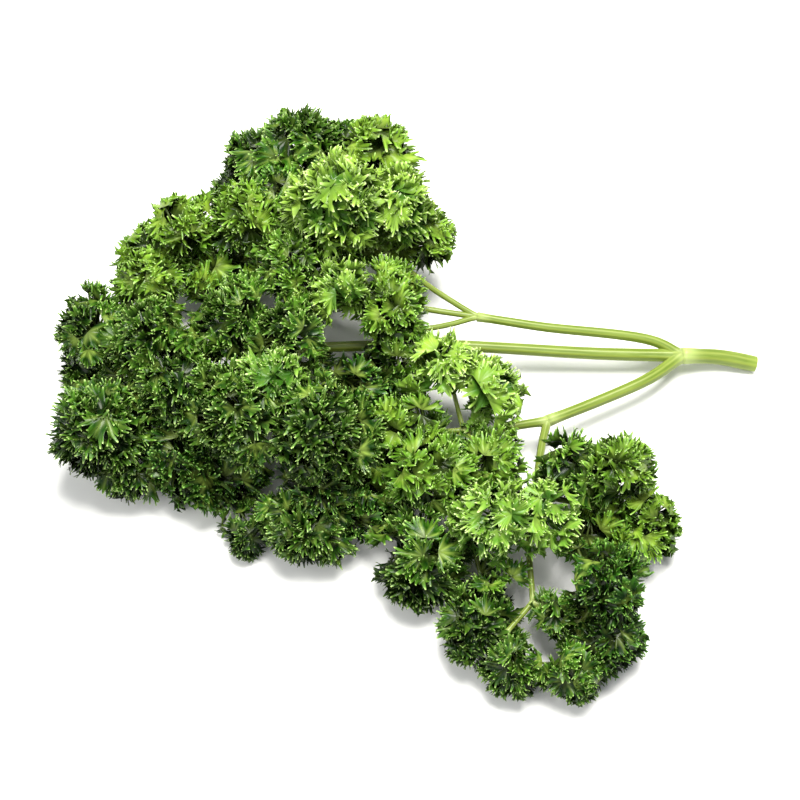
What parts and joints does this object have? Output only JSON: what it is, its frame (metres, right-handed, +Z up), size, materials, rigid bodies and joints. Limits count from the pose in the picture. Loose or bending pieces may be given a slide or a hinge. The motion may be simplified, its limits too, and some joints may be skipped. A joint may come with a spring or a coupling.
{
  "type": "curly parsley spray",
  "caption": "Cut spray of curly parsley lying down: a ribbed, branching stalk with dense heads of crisped, toothed leaflets.",
  "frame": {"origin": "on the table, under the middle of the spray's bounding box", "axes": "+X towards the cut end of the stalk, +Y across the spray, +Z up from the table that it lies on"},
  "size_m": [0.1624, 0.1418, 0.0429],
  "materials": {
    "stem": "satin",
    "leaf_light": "satin",
    "leaf_mid": "satin",
    "leaf_dark": "satin"
  },
  "bodies": {
    "root": {"stalk": "stem", "leaflets_upper_01": "leaf_light", "leaflets_upper_02": "leaf_light", "leaflets_upper_03": "leaf_mid", "leaflets_upper_04": "leaf_mid", "leaflets_upper_05": "leaf_mid", "leaflets_upper_06": "leaf_mid", "leaflets_upper_07": "leaf_mid", "leaflets_upper_08": "leaf_mid", "leaflets_upper_09": "leaf_dark", "leaflets_upper_10": "leaf_mid", "leaflets_upper_11": "leaf_dark", "leaflets_upper_12": "leaf_mid", "leaflets_upper_13": "leaf_light", "leaflets_upper_14": "leaf_mid", "leaflets_upper_15": "leaf_mid", "leaflets_middle_01": "leaf_mid", "leaflets_middle_02": "leaf_mid", "leaflets_middle_03": "leaf_mid", "leaflets_middle_04": "leaf_mid", "leaflets_middle_05": "leaf_mid", "leaflets_middle_06": "leaf_mid", "leaflets_middle_07": "leaf_mid", "leaflets_middle_08": "leaf_mid", "leaflets_middle_09": "leaf_mid", "leaflets_middle_10": "leaf_dark", "leaflets_middle_11": "leaf_dark", "leaflets_middle_12": "leaf_mid", "leaflets_middle_13": "leaf_mid", "leaflets_middle_14": "leaf_light", "leaflets_middle_15": "leaf_mid", "leaflets_middle_16": "leaf_mid", "leaflets_middle_17": "leaf_mid", "leaflets_middle_18": "leaf_mid", "leaflets_middle_19": "leaf_dark", "leaflets_middle_20": "leaf_dark", "leaflets_lower_01": "leaf_dark", "leaflets_lower_02": "leaf_dark", "leaflets_lower_03": "leaf_light", "leaflets_lower_04": "leaf_light", "leaflets_lower_05": "leaf_mid", "leaflets_lower_06": "leaf_mid", "leaflets_lower_07": "leaf_mid", "leaflets_lower_08": "leaf_light", "leaflets_lower_09": "leaf_light", "leaflets_lower_10": "leaf_mid", "leaflets_lower_11": "leaf_mid", "leaflets_lower_12": "leaf_mid", "leaflets_lower_13": "leaf_mid", "leaflets_lower_14": "leaf_mid", "leaflets_lower_15": "leaf_dark", "leaflets_lower_16": "leaf_mid", "leaflets_lower_17": "leaf_mid", "leaflets_lower_18": "leaf_mid", "leaflets_lower_19": "leaf_mid", "leaflets_lower_20": "leaf_dark", "leaflets_lower_21": "leaf_dark", "leaflets_middle_21": "leaf_dark", "leaflets_middle_22": "leaf_dark", "leaflets_upper_16": "leaf_dark"}
  },
  "joints": []
}
